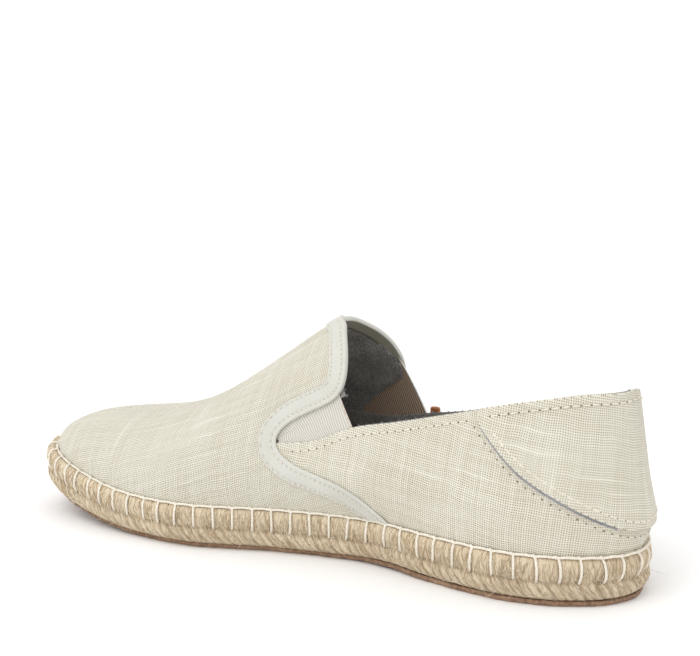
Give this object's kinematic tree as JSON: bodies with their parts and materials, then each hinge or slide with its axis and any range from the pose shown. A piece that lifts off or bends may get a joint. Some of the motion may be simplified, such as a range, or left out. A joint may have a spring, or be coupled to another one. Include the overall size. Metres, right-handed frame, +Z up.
{
  "type": "espadrille",
  "caption": "Slip-on espadrille: linen upper with elastic gores at the throat, a bound vamp edge, a proud heel panel, and a stitched rope sole on a thin rubber outsole.",
  "frame": {"origin": "on the flat underside of the outsole, below the front of the collar, at the level of the floor", "axes": "+Z up from the floor; +Y from the toe to the heel along the length; +X to the wearer's left, the inner side of this right shoe"},
  "size_m": [0.101, 0.2929, 0.1006],
  "materials": {
    "rubber": "matt brown crepe",
    "jute": "rough braided rope",
    "insole_cloth": "brushed grey felt",
    "linen": "slubby plain weave",
    "elastic": "fine ribbed elastic",
    "binding_tape": "smooth microfibre tape",
    "tab_leather": "plain brown leather",
    "stitch_thread": "thick cotton thread"
  },
  "bodies": {
    "root": {"outsole": "rubber", "jute_sole": "jute", "insole": "insole_cloth", "upper": "linen", "gore_medial": "elastic", "gore_lateral": "elastic", "binding": "binding_tape", "heel_panel": "linen", "side_tab": "tab_leather"}
  },
  "joints": []
}
